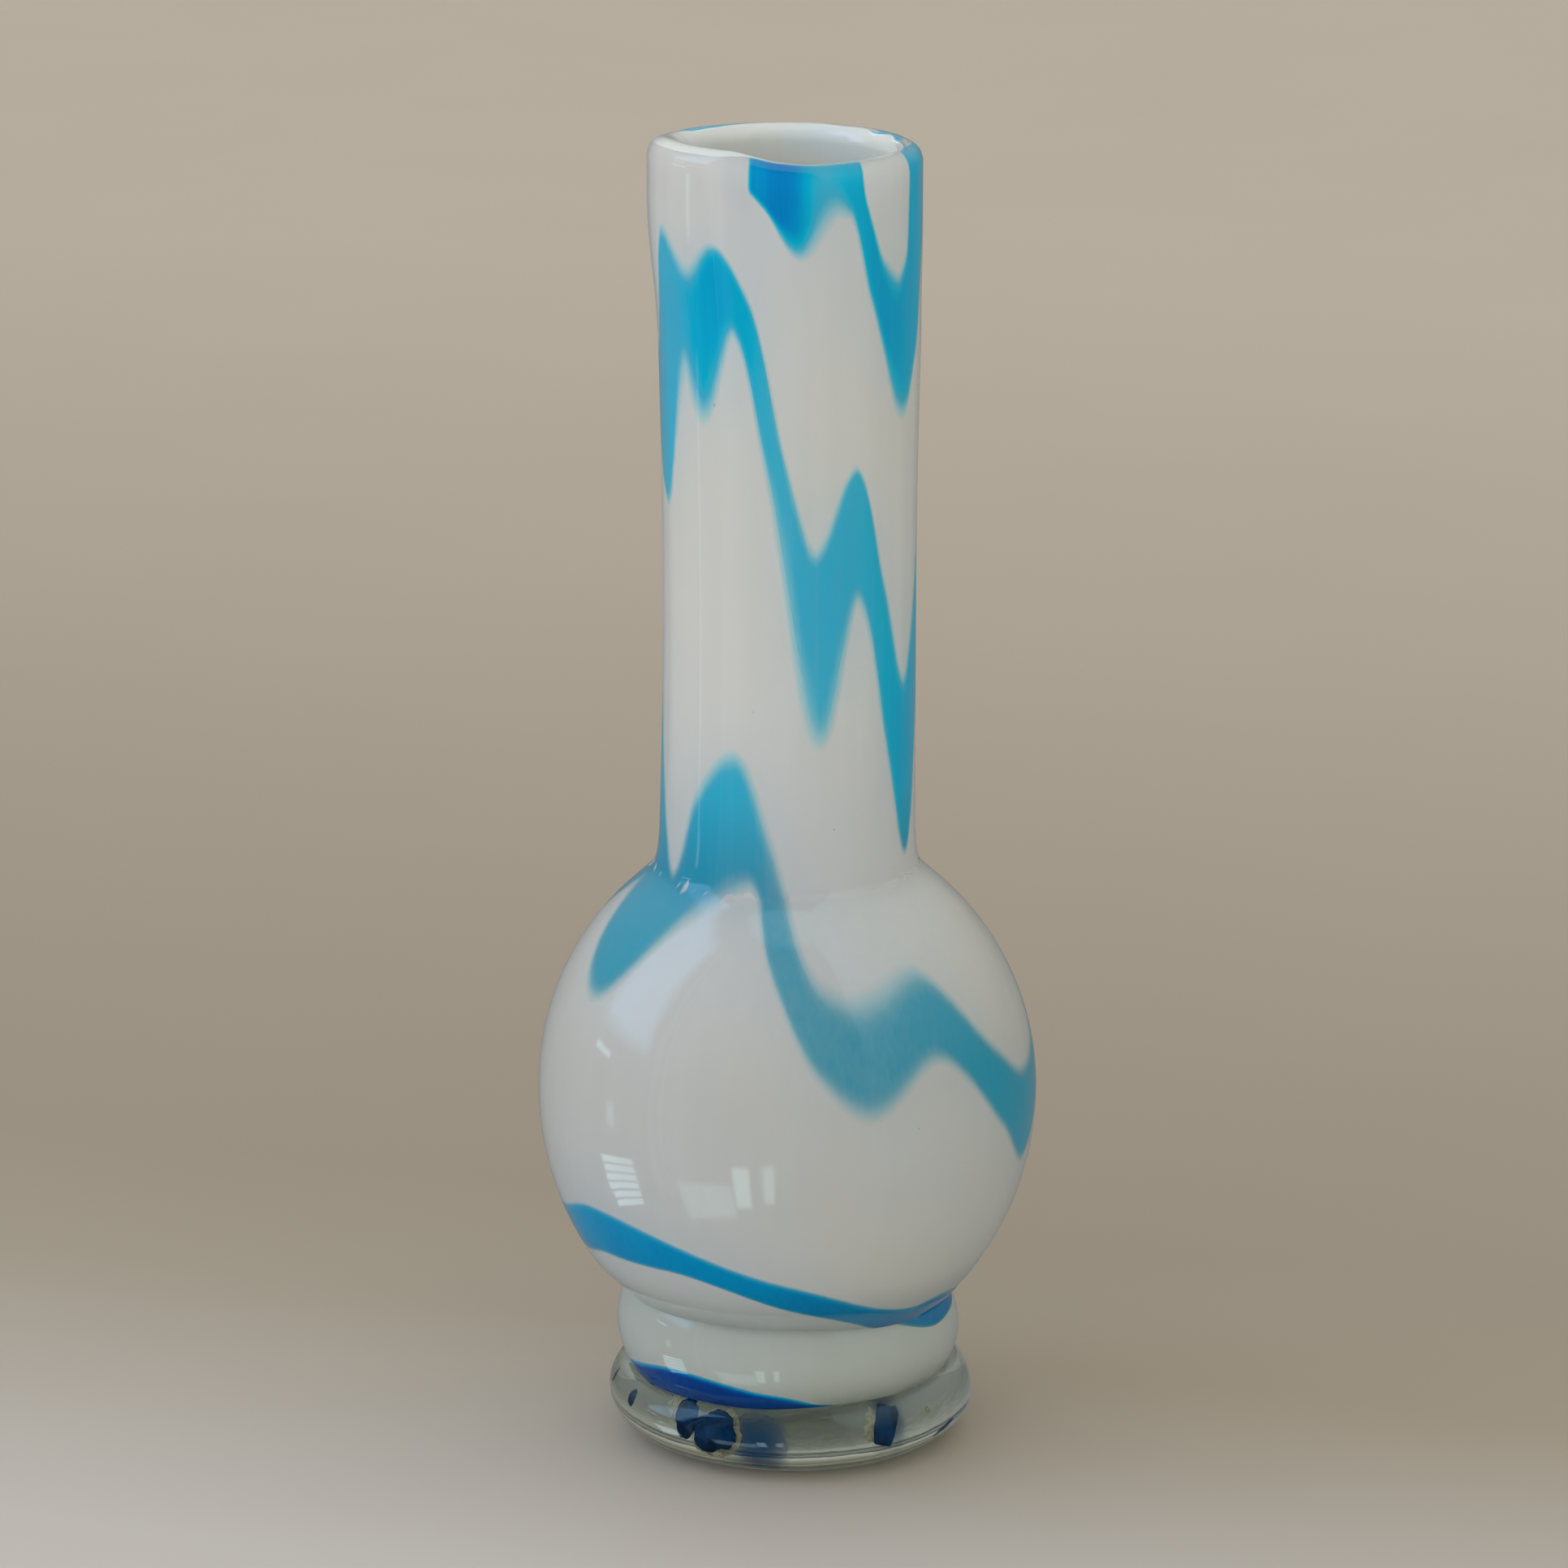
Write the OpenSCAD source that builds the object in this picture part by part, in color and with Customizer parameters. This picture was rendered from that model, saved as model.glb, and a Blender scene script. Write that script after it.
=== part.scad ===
// Hand blown art glass vase: a cased bottle vase with a round bulb and a long neck.
// An opal glass bubble carries one blue glass strand, wound round it and raked into zigzags.
// A thick clear layer covers both, and a clear disc foot with cobalt chips is fused below.
// Millimetres, +Z up. The origin is the centre of the resting plane under the foot.
// Azimuth is counted from the front, -Y, towards +X, and runs on past 360 with each turn.

/* [Overall] */
// Height from the resting plane to the top of the lip
vase_h = 257; // [252:1:280]

/* [Foot disc] */
// Largest diameter of the foot
foot_d = 71.4; // [69:0.1:76]
// Height of the foot's widest line
foot_widest_z = 8.4; // [7:0.1:10]
// Diameter of the flat ring that the vase rests on
contact_d = 50; // [44:0.5:60]
// Height of the groove between the foot and the collar
low_groove_z = 14.9; // [13.5:0.1:16]
// Diameter at that groove
low_groove_d = 62.4; // [60:0.1:65]
// Diameter of the polished hollow where the pontil rod was broken off
pontil_d = 26; // [18:0.5:32]
// Depth of that hollow
pontil_depth = 1.2; // [0.6:0.1:2]
// Height of the rounded seat in the middle of the foot
seat_z = 6.4; // [5:0.1:7]

/* [Collar] */
// Largest diameter of the collar ring
collar_d = 67.3; // [66:0.1:70]
// Height of the groove between the collar and the bulb
high_groove_z = 28.3; // [27:0.1:30]

/* [Bulb] */
// Largest outside diameter of the bulb
bulb_d = 96.8; // [92:0.2:104]
// Height of the bulb's widest line
bulb_z = 69.8; // [68:0.1:72]
// Height of the shoulder's ellipse above the widest line
shoulder_h = 51.3; // [49:0.1:54]
// Depth of the belly's ellipse below the widest line
belly_h = 54; // [52:0.1:57]

/* [Neck and lip] */
// Diameter at the narrowest place of the neck
waist_d = 48.4; // [47.6:0.1:49.4]
// Height of the narrowest place
waist_z = 165; // [155:1:180]
// How far the radius has grown again at the foot of the neck
neck_flare = 0.5; // [0.2:0.1:1]
// Diameter of the fire polished lip
lip_d = 52; // [51:0.1:54]
// Height where the neck starts to swell out towards the lip
swell_z = 224; // [215:1:228]
// Length of neck over which it swells
swell_l = 22; // [18:1:24]
// Diameter of the straight bore of the neck
bore_d = 39.2; // [37:0.1:40]
// Softness of the inner corner between the neck and the shoulder
root_blend = 1.4; // [0.8:0.1:3]

/* [Glass layers] */
// Thickness of the clear outer layer
casing_t = 2.4; // [2:0.1:2.8]
// Thickness of the white opal layer
liner_t = 2.4; // [2:0.1:2.6]
// Height of the opal bubble's closed end
liner_base_z = 9.4; // [8.8:0.1:10.5]
// Thickness of the blue strand
trail_t = 0.6; // [0.4:0.1:1]

/* [Hidden] */
$fn = 96;

bulb_r = bulb_d / 2;
waist_r = waist_d / 2;
bore_r = bore_d / 2;
lip_r = lip_d / 2;
foot_r = foot_d / 2;
contact_r = contact_d / 2;
groove_r = low_groove_d / 2;
wall_t = casing_t + liner_t;
// Height where the straight sides of the bubble start to round into its closed end
cap_z = high_groove_z + 1;
// Fullness of the closed end: 2 is an ellipse, more is squarer
cap_power = 3;
// Half the thickness of the lip between the bore and its outer edge
lip_round = (lip_r - bore_r) / 2;
// Height of the lip's rounded top
lip_crown = 3.2;
neck_z = bulb_z + shoulder_h;
// Steps along the profile
arc_steps = 14;
bulb_step = 3;
neck_step = 9;
// How far cutters run past what they cut
spare = 0.5;

// The strand's upper edge: azimuth and height, falling from the lip to the bubble's closed end
TRAIL_TOP = [
    [-17, 251], [33, 251], [48, 234], [58, 230], [65, 235], [70, 251], [120, 251], [160, 241], [200, 251],
    [231, 250], [268, 216], [282, 228], [293, 240], [310, 232], [327, 238], [342, 228], [357, 199],
    [372, 180], [393, 196], [410, 173], [427, 152], [445, 173], [468, 211], [512, 168], [534, 186],
    [580, 142], [607, 162], [628, 146], [655, 114], [672, 131], [693, 140], [711, 124], [730, 98],
    [740, 95], [760, 99], [780, 83], [793, 76], [806, 79], [820, 97], [838, 117], [884, 80], [898, 86],
    [940, 64], [1000, 49], [1024, 53], [1080, 42], [1126, 33], [1138, 34], [1200, 27], [1260, 24],
    [1350, 17], [1394, 19], [1435, 17], [1468, 14]
];
// The strand's lower edge
TRAIL_LOW = [
    [-17, 250], [-11, 248], [6, 240], [24, 248], [31, 246], [40, 230], [64, 208], [76, 217], [92, 243],
    [113, 234], [128, 240], [162, 226], [200, 243], [224, 240], [258, 206], [285, 188], [304, 217],
    [316, 209], [333, 224], [349, 198], [375, 146], [394, 172], [415, 140], [430, 120], [450, 150],
    [470, 195], [512, 140], [528, 160], [580, 116], [603, 127], [619, 104], [628, 110], [658, 94],
    [680, 111], [702, 117], [716, 101], [728, 85], [740, 78], [759, 86], [780, 70], [794, 60], [812, 76],
    [834, 104], [882, 62], [898, 70], [940, 52], [1005, 42], [1024, 44], [1045, 44], [1080, 37],
    [1120, 28], [1150, 24], [1175, 24], [1260, 20], [1350, 13], [1430, 12], [1468, 13]
];
trail_start = TRAIL_TOP[0][0];
trail_end = TRAIL_TOP[len(TRAIL_TOP) - 1][0];
// The strand is built quarter turn by quarter turn
quarter = 90;
trail_quarters = ceil((trail_end + quarter / 2) / quarter);
// Azimuth between two points of the strand's outline, and how far it laps past a quarter
trail_step = 3.75;
trail_lap = 3;

// Cobalt chips: azimuth, distance from the axis, height and size
ROUND_CHIPS = [[-42, 29.5, 6.4, 2.4], [-34, 30.3, 5.8, 3], [-25, 30.2, 6.2, 3.2], [-66, 32.2, 9.6, 1.3]];
FLAT_CHIPS = [[33, 29.4, 6.4, [7, 1.6, 6]], [-86, 33.2, 10, [1.6, 0.8, 2.4]], [62, 30.6, 4.6, [9, 0.8, 1.4]]];

// A cubic that leaves 0 and arrives at 1 with the slopes that are given
function hermite(t, a, b, slope_a, slope_b) =
    (2 * t * t * t - 3 * t * t + 1) * a + (t * t * t - 2 * t * t + t) * slope_a
    + (3 * t * t - 2 * t * t * t) * b + (t * t * t - t * t) * slope_b;
function rise(list, i) = (list[i + 1][1] - list[i][1]) / (list[i + 1][0] - list[i][0]);
// Slope at a point of a list: level at peaks, valleys and ends, so that the curve never overshoots
function slope(list, i) =
    i == 0 || i == len(list) - 1 || rise(list, i - 1) * rise(list, i) <= 0 ? 0
    : 2 * rise(list, i - 1) * rise(list, i) / (rise(list, i - 1) + rise(list, i));
function span_of(list, x, i = 0) = i >= len(list) - 2 || x < list[i + 1][0] ? i : span_of(list, x, i + 1);
function curve_span(list, x, i) =
    let (w = list[i + 1][0] - list[i][0])
    hermite((x - list[i][0]) / w, list[i][1], list[i + 1][1], slope(list, i) * w, slope(list, i + 1) * w);
// Height of an edge of the strand at an azimuth
function curve(list, x) = curve_span(list, x, span_of(list, x));

function smooth(t) = let (s = min(1, max(0, t))) s * s * (3 - 2 * s);
// The larger of two radii, with the corner between them rounded
function blended(a, b) = (a + b + sqrt((a - b) * (a - b) + root_blend * root_blend)) / 2;
// Radius of the bulb's two half ellipses, a depth under the outer surface
function bulb_radius(z, depth) =
    let (half = (z > bulb_z ? shoulder_h : belly_h) - depth)
    (bulb_r - depth) * sqrt(max(0, 1 - pow((z - bulb_z) / half, 2)));
// The neck is waisted, and swells into the lip over its last stretch
function neck_radius(z) =
    let (swell = smooth((z - swell_z) / swell_l))
    (waist_r + neck_flare * pow((z - waist_z) / (waist_z - neck_z), 2)) * (1 - swell) + lip_r * swell;
function side_radius(z, depth) = blended(neck_radius(z) - depth, bulb_radius(z, depth));
// Radius of the rounded closed end of a layer
function cap_radius(z, depth, bottom) =
    let (fall = (cap_z - z) / (cap_z - bottom))
    side_radius(cap_z, depth) * pow(max(0, 1 - pow(fall, cap_power)), 1 / cap_power);
function cap_bottom(depth) = liner_base_z + depth - casing_t;
// Outline of a closed layer, from the axis at its closed end up past the lip
function side_heights(from, to) = concat(
    [for (z = [from : bulb_step : neck_z]) z],
    [for (z = [neck_z + bulb_step : neck_step : swell_z - bulb_step]) z],
    [for (z = [swell_z : bulb_step : to - spare]) z],
    [to]
);
function closed_end(depth) =
    [for (a = [0 : 90 / arc_steps : 89.9])
        let (bottom = cap_bottom(depth), z = cap_z - (cap_z - bottom) * cos(a))
        [a == 0 ? 0 : cap_radius(z, depth, bottom), z]];
function layer_outline(depth, to) =
    concat(closed_end(depth), [for (z = side_heights(cap_z, to)) [side_radius(z, depth), z]]);

// The seat: the rounded joint between the foot and the glass above it, from the axis outward
function seat_outline() =
    [for (a = [0 : 90 / arc_steps : 90])
        [groove_r * sin(a), low_groove_z - (low_groove_z - seat_z) * cos(a)]];
// The collar bulges between its two grooves
function collar_outline() =
    let (top_r = side_radius(high_groove_z, 0), bulge = collar_d / 2 - (groove_r + top_r) / 2)
    [for (i = [1 : arc_steps - 1])
        let (t = i / arc_steps)
        [groove_r + (top_r - groove_r) * t + bulge * 4 * t * (1 - t),
         low_groove_z + (high_groove_z - low_groove_z) * t]];
// The lip is one round roll from its outer edge to the bore
function lip_outline() =
    [for (a = [90 / arc_steps : 90 / arc_steps : 180])
        [bore_r + lip_round + lip_round * cos(a), vase_h - lip_crown + lip_crown * sin(a)]];
function foot_edge() =
    [for (a = [0 : 90 / arc_steps : 90])
        [contact_r + (foot_r - contact_r) * sin(a), foot_widest_z * (1 - cos(a))]];
function foot_shoulder() =
    [for (a = [90 / arc_steps : 90 / arc_steps : 90 - 90 / arc_steps])
        [groove_r + (foot_r - groove_r) * cos(a), foot_widest_z + (low_groove_z - foot_widest_z) * sin(a)]];
function backwards(list) = [for (i = [len(list) - 1 : -1 : 0]) list[i]];

// Everything above the foot as one envelope, without its hollow
module glass_body()
    rotate_extrude()
        polygon(concat(
            seat_outline(),
            collar_outline(),
            [for (z = side_heights(high_groove_z, vase_h - lip_crown)) [side_radius(z, 0), z]],
            lip_outline(),
            [[0, vase_h - lip_crown]]
        ));

// The opal bubble's outer shape, filled
module bubble()
    rotate_extrude()
        polygon(concat(layer_outline(casing_t, vase_h + lip_crown), [[0, vase_h + lip_crown]]));

// The space inside the bulb
module bulb_hollow()
    rotate_extrude()
        polygon(concat(
            closed_end(wall_t),
            [for (z = [cap_z : bulb_step : neck_z - wall_t]) [bulb_radius(z, wall_t), z]],
            [[0, neck_z - wall_t]]
        ));

module neck_bore()
    translate([0, 0, bulb_z])
        cylinder(r = bore_r, h = vase_h);

// The shell between two depths under the outer surface
module shell(outer_depth, inner_depth, to = vase_h - lip_crown)
    rotate_extrude()
        polygon(concat(layer_outline(outer_depth, to), backwards(layer_outline(inner_depth, to))));

// One quarter turn of the strand's outline, seen from outside
function strand_azimuths(turn) =
    let (from = max(trail_start, quarter * turn - quarter / 2 - trail_lap),
         to = min(trail_end, quarter * turn + quarter / 2 + trail_lap),
         count = ceil((to - from) / trail_step))
    [for (i = [0 : count]) from + (to - from) * i / count];
function strand_point(list, x, turn) =
    let (z = curve(list, x))
    [(z < cap_z ? cap_radius(z, casing_t, cap_bottom(casing_t)) : side_radius(z, casing_t))
        * sin(x - quarter * turn), z];
function strand_outline(turn) = concat(
    [for (x = strand_azimuths(turn)) strand_point(TRAIL_LOW, x, turn)],
    [for (x = backwards(strand_azimuths(turn))) strand_point(TRAIL_TOP, x, turn)]
);

// The strand between two depths under the outer surface
module strand(outer_depth, inner_depth)
    for (turn = [0 : trail_quarters - 1])
        rotate([0, 0, quarter * turn])
            intersection() {
                shell(outer_depth, inner_depth);
                rotate([90, 0, 0])
                    linear_extrude(height = bulb_d)
                        polygon(strand_outline(turn));
                linear_extrude(height = vase_h)
                    polygon([[0, 0], [bulb_d, -bulb_d], [-bulb_d, -bulb_d]]);
            }

module at_azimuth(azimuth, radius, z)
    rotate([0, 0, azimuth])
        translate([0, -radius, z])
            children();

module chips() {
    for (chip = ROUND_CHIPS)
        at_azimuth(chip[0], chip[1], chip[2])
            sphere(r = chip[3]);
    for (chip = FLAT_CHIPS)
        at_azimuth(chip[0], chip[1], chip[2])
            cube(chip[3], center = true);
}

// Clear disc that the vase stands on, rounded at its edge and hollowed in the middle
module foot_disc()
    color([0.78, 0.86, 0.84, 0.45])
        difference() {
            rotate_extrude()
                polygon(concat(
                    [[0, pontil_depth], [pontil_d / 2 - pontil_depth, pontil_depth], [pontil_d / 2, 0]],
                    foot_edge(),
                    foot_shoulder(),
                    backwards(seat_outline())
                ));
            chips();
        }

// Clear glass over the bubble, from the collar to the lip, with a bed for the strand
module clear_casing()
    color([0.86, 0.92, 0.94, 0.3])
        difference() {
            glass_body();
            bubble();
            strand(casing_t - trail_t, casing_t + spare);
        }

// White opal bubble that holds the water and flowers
module opal_liner()
    color([0.93, 0.95, 0.95])
        difference() {
            intersection() {
                glass_body();
                bubble();
            }
            bulb_hollow();
            neck_bore();
        }

// One strand of blue glass, wound from the lip down to the bubble's closed end
module blue_trail()
    color([0.05, 0.5, 0.75])
        strand(casing_t - trail_t, casing_t);

// Chips of dark blue glass sealed inside the foot
module cobalt_chips()
    color([0.02, 0.08, 0.35])
        chips();

foot_disc();
clear_casing();
opal_liner();
blue_trail();
cobalt_chips();
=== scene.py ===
import math
import random

import bmesh
import bpy
import numpy as np
from mathutils import Matrix, Vector, noise


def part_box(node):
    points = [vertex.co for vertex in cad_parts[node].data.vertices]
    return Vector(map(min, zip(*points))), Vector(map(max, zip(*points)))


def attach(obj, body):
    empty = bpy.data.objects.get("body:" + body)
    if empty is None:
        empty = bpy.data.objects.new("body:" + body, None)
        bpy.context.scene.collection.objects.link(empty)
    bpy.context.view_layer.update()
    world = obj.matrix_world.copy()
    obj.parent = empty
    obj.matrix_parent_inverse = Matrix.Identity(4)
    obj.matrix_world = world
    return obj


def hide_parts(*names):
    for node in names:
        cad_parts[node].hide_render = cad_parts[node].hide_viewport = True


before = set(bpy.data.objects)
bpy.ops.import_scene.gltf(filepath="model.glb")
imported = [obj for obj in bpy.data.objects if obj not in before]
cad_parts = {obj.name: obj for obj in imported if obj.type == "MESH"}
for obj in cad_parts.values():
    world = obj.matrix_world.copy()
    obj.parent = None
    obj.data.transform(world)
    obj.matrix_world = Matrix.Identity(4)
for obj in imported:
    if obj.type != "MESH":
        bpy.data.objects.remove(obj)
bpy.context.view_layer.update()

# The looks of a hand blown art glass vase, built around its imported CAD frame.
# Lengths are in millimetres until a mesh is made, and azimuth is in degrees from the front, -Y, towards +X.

MM = 0.001


# ---------------------------------------------------------------- sizes

def box_mm(node):
    low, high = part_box(node)
    return low / MM, high / MM


body_low, body_high = box_mm("clear_casing")
foot_high = box_mm("foot_disc")[1]
vase_h = body_high.z
bulb_r = body_high.x
foot_r = foot_high.x
low_groove_z = foot_high.z
liner_base_z = box_mm("opal_liner")[0].z
seat_z = body_low.z

# The rest repeats the CAD part's own values
foot_widest_z = 8.4
contact_r = 25
groove_r = 31.2
pontil_r = 13
pontil_depth = 1.2
collar_r = 33.65
high_groove_z = 28.3
bulb_z = 69.8
shoulder_h = 51.3
belly_h = 54
waist_r = 24.2
waist_z = 165
neck_flare = 0.5
lip_r = 26
swell_z = 224
swell_l = 22
bore_r = 19.6
root_blend = 1.4
# The clear layer fills the corner between neck and shoulder a little more than the white one
outer_blend = 1.8
casing_t = 2.4
liner_t = 2.4
lip_crown = 3.2
cap_power = 3
wall_t = casing_t + liner_t
cap_z = high_groove_z + 1
neck_z = bulb_z + shoulder_h
lip_round = (lip_r - bore_r) / 2
lip_z = vase_h - lip_crown

# The strand's upper edge: azimuth and height, falling from the lip to the bubble's closed end
TRAIL_TOP = [
    [-17, 251], [33, 251], [48, 234], [58, 230], [65, 235], [70, 251], [120, 251], [160, 241], [200, 251],
    [231, 250], [268, 216], [282, 228], [293, 240], [310, 232], [327, 238], [342, 228], [357, 199],
    [372, 180], [393, 196], [410, 173], [427, 152], [445, 173], [468, 211], [512, 168], [534, 186],
    [580, 142], [607, 162], [628, 146], [655, 114], [672, 131], [693, 140], [711, 124], [730, 98],
    [740, 95], [760, 99], [780, 83], [793, 76], [806, 79], [820, 97], [838, 117], [884, 80], [898, 86],
    [940, 64], [1000, 49], [1024, 53], [1080, 42], [1126, 33], [1138, 34], [1200, 27], [1260, 24],
    [1350, 17], [1394, 19], [1435, 17], [1468, 14],
]
# The strand's lower edge
TRAIL_LOW = [
    [-17, 250], [-11, 248], [6, 240], [24, 248], [31, 246], [40, 230], [64, 208], [76, 217], [92, 243],
    [113, 234], [128, 240], [162, 226], [200, 243], [224, 240], [258, 206], [285, 188], [304, 217],
    [316, 209], [333, 224], [349, 198], [375, 146], [394, 172], [415, 140], [430, 120], [450, 150],
    [470, 195], [512, 140], [528, 160], [580, 116], [603, 127], [619, 104], [628, 110], [658, 94],
    [680, 111], [702, 117], [716, 101], [728, 85], [740, 78], [759, 86], [780, 70], [794, 60], [812, 76],
    [834, 104], [882, 62], [898, 70], [940, 52], [1005, 42], [1024, 44], [1045, 44], [1080, 37],
    [1120, 28], [1150, 24], [1175, 24], [1260, 20], [1350, 13], [1430, 12], [1468, 13],
]
# How deep the strand's colour is along its length
TRAIL_DEPTH = [
    [-17, 1.2], [0, 1.6], [16, 0.5], [32, 0.85], [50, 1.1], [80, 0.85], [160, 0.7], [230, 0.75], [262, 0.55],
    [298, 0.5], [325, 0.95], [338, 0.8], [356, 0.45], [391, 0.5], [425, 0.85], [560, 0.6], [640, 0.6],
    [700, 0.5], [716, 0.36], [745, 0.42], [795, 0.65], [900, 0.8], [1000, 0.95], [1090, 1.15], [1150, 1.35],
    [1250, 2.2], [1340, 3.0], [1465, 3.1],
]
# Width over which the strand's lower and upper edges fade out, across a leg of a zigzag
LOW_FADE = [
    [-17, 0.8], [-7, 1.0], [7, 3.6], [22, 4.2], [34, 1.4], [46, 1.6], [62, 4.2], [80, 1.4], [290, 1.6],
    [313, 5.4], [340, 1.8], [372, 4.4], [385, 3.4], [402, 1.8], [500, 2.4], [660, 2.6], [690, 4.4], [712, 1.6],
    [742, 3.4], [760, 2.4], [790, 1.8], [900, 2], [1000, 1.6], [1160, 1.0], [1465, 0.7],
]
TOP_FADE = [
    [-17, 0.8], [40, 1.2], [56, 3.2], [66, 1.2], [290, 1.4], [312, 3.4], [332, 1.4], [350, 1.2], [374, 2.0],
    [396, 1.2], [424, 2.6], [500, 2], [640, 2], [680, 3.2], [720, 2.6], [745, 4.6], [765, 3], [795, 2.6],
    [900, 2.2], [1080, 1.8], [1140, 1.4], [1300, 0.8], [1465, 0.7],
]
# Fades are this much longer along the vase's axis than across it, because the strand was raked up and down
FADE_STRETCH = [[-22, 2.2], [800, 2.0], [950, 1.3], [1100, 1.0], [1465, 1.0]]

# Waves in the glass: size, lobes round the vase, radians of twist for each millimetre up, and phase
LOW_WAVES = [(0.112, 2, 0, 0.7), (0.07, 5, 1 / 9, 0), (0.049, 9, 0, 2)]
NECK_WAVES = [(0.045, 11, 0, 1), (0.04, 17, 1 / 60, 0), (0.022, 31, 0, 0.4)]
BULB_WAVES = [(0.048, 3, 1 / 17, 0)]
FOOT_WAVES = [(0.3, 1, 0, 2.4), (0.14, 3, 0, 1), (0.07, 7, 0, 0)]
# Those waves start and end over these heights, and take this much off the radius to stay inside the frame
LOW_WAVES_TO = (38, 26)
BULB_WAVES_FROM = (50, 80)
NECK_WAVES_OVER = 20
FOOT_WAVES_OVER = 6
wave_room = 0.12

# The vase leans a little: sideways offset of its axis against height
AXIS_SHIFT = [[0, 0.7], [35, 0], [110, 0], [165, 0.5], [215, 0.5], [246, -0.4]]
# Height that the fire polished lip lacks against azimuth; it stands highest at the front left
LIP_DROP = [[-180, 2], [-120, 1.6], [-65, 0], [-28, 0], [-14, 0.9], [-4, 1.7], [15, 2.3], [60, 2.1], [180, 2]]
# The collar is taller at the front left: its two grooves swing apart there, each over a reach of heights
COLLAR_SWING = [(14.9, 8), (28.5, 9)]
COLLAR_STRETCH = 1.5
COLLAR_TALLEST = -40
lip_drop_from = 234
lip_drop_full = 252
# How far the white layer stops short of the lip's crest, against azimuth
LIP_LEAN = [
    [-180, 0.2], [-160, 1.2], [-128, 2.0], [-114, 0.6], [-98, -1.5], [-30, -1.4], [-12, 0.3], [30, 0.7],
    [55, 0.3], [80, 1.0], [104, 2.1], [114, 1.4], [126, 2.4], [138, 1.3], [150, 1.6], [165, 0.6], [180, 0.2],
]
lean_from = 232
lean_full = 255

# Vertices round each ring, and how many rings each stretch of the profile has
COLUMNS = 300
CAP_ROWS = 18
SEAT_ROWS = 16
ROLL_ROWS = 16
CLEAR_ROLL_ROWS = 12
COLLAR_ROWS = 18
BORE_ROWS = 24
INSIDE_ROWS = 36
FOOT_LOW_ROWS = 20
FOOT_HIGH_ROWS = 16
# Rings of the foot, from its middle, that are ground
GROUND_ROWS = 9
TURN = 360


# ---------------------------------------------------------------- curves

def slopes(points):
    """Slope at each point: level at peaks, valleys and ends, so that the curve never overshoots."""
    x, y = points[:, 0], points[:, 1]
    between_points = np.diff(y) / np.diff(x)
    before, after = between_points[:-1], between_points[1:]
    same = before * after > 0
    total = np.where(same, before + after, 1)
    return np.concatenate([[0], np.where(same, 2 * before * after / total, 0), [0]])


def curve(points, at):
    """Smooth value of a list of points at each place."""
    points = np.array(points, float)
    x, y, slope = points[:, 0], points[:, 1], slopes(points)
    at = np.clip(at, x[0], x[-1])
    i = np.clip(np.searchsorted(x, at, side="right") - 1, 0, len(x) - 2)
    w = x[i + 1] - x[i]
    t = (at - x[i]) / w
    return (
        (2 * t**3 - 3 * t**2 + 1) * y[i] + (t**3 - 2 * t**2 + t) * slope[i] * w
        + (3 * t**2 - 2 * t**3) * y[i + 1] + (t**3 - t**2) * slope[i + 1] * w
    )


def smooth(t):
    s = np.clip(t, 0, 1)
    return s * s * (3 - 2 * s)


def rise(value, start, end):
    """0 at the start, 1 at the end and beyond, with a smooth climb between."""
    return smooth((value - start) / (end - start))


def waves(table, a, z):
    """Sum of a table's waves at azimuths in radians and heights."""
    return sum(size * np.sin(lobes * a + z * twist + phase) for size, lobes, twist, phase in table)


def wrapped(azimuth):
    return (np.asarray(azimuth) + TURN / 2) % TURN - TURN / 2


# ---------------------------------------------------------------- the blown shape

def bulb_radius(z, depth):
    half = np.where(z > bulb_z, shoulder_h, belly_h) - depth
    return (bulb_r - depth) * np.sqrt(np.maximum(0, 1 - ((z - bulb_z) / half) ** 2))


def neck_radius(z):
    swell = rise(z, swell_z, swell_z + swell_l)
    flare = waist_r + neck_flare * ((z - waist_z) / (waist_z - neck_z)) ** 2
    return flare * (1 - swell) + lip_r * swell


def side_radius(z, depth):
    a, b = neck_radius(z) - depth, bulb_radius(z, depth)
    blend = root_blend + outer_blend if depth == 0 else root_blend
    return (a + b + np.sqrt((a - b) ** 2 + blend**2)) / 2


def cap_bottom(depth):
    return liner_base_z + depth - casing_t


def layer_radius(z, depth):
    """Radius of a layer, its rounded closed end included."""
    bottom = cap_bottom(depth)
    fall = np.clip((cap_z - z) / (cap_z - bottom), 0, 1)
    cap = side_radius(np.float64(cap_z), depth) * (1 - fall**cap_power) ** (1 / cap_power)
    return np.where(z < cap_z, cap, side_radius(z, depth))


def steps(start, end, count):
    return np.linspace(start, end, count + 1)


def side_rows(start, end):
    """Heights of the rings along a layer's side: close together where the profile bends."""
    stops = [(cap_z, 60), (neck_z - 6, 10), (neck_z + 6, 36), (swell_z - 2, 18), (end, 0)]
    rows = []
    for (z0, count), (z1, _) in zip(stops, stops[1:]):
        rows += list(steps(max(start, z0), z1, count)[:-1])
    return np.array(rows + [end])


def closed_end(depth):
    bottom = cap_bottom(depth)
    a = np.radians(steps(0, 90, CAP_ROWS)[:-1])
    z = cap_z - (cap_z - bottom) * np.cos(a)
    r = layer_radius(z, depth)
    r[0] = 0
    return r, z


def seat():
    a = np.radians(steps(0, 90, SEAT_ROWS))
    return groove_r * np.sin(a), low_groove_z - (low_groove_z - seat_z) * np.cos(a)


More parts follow.
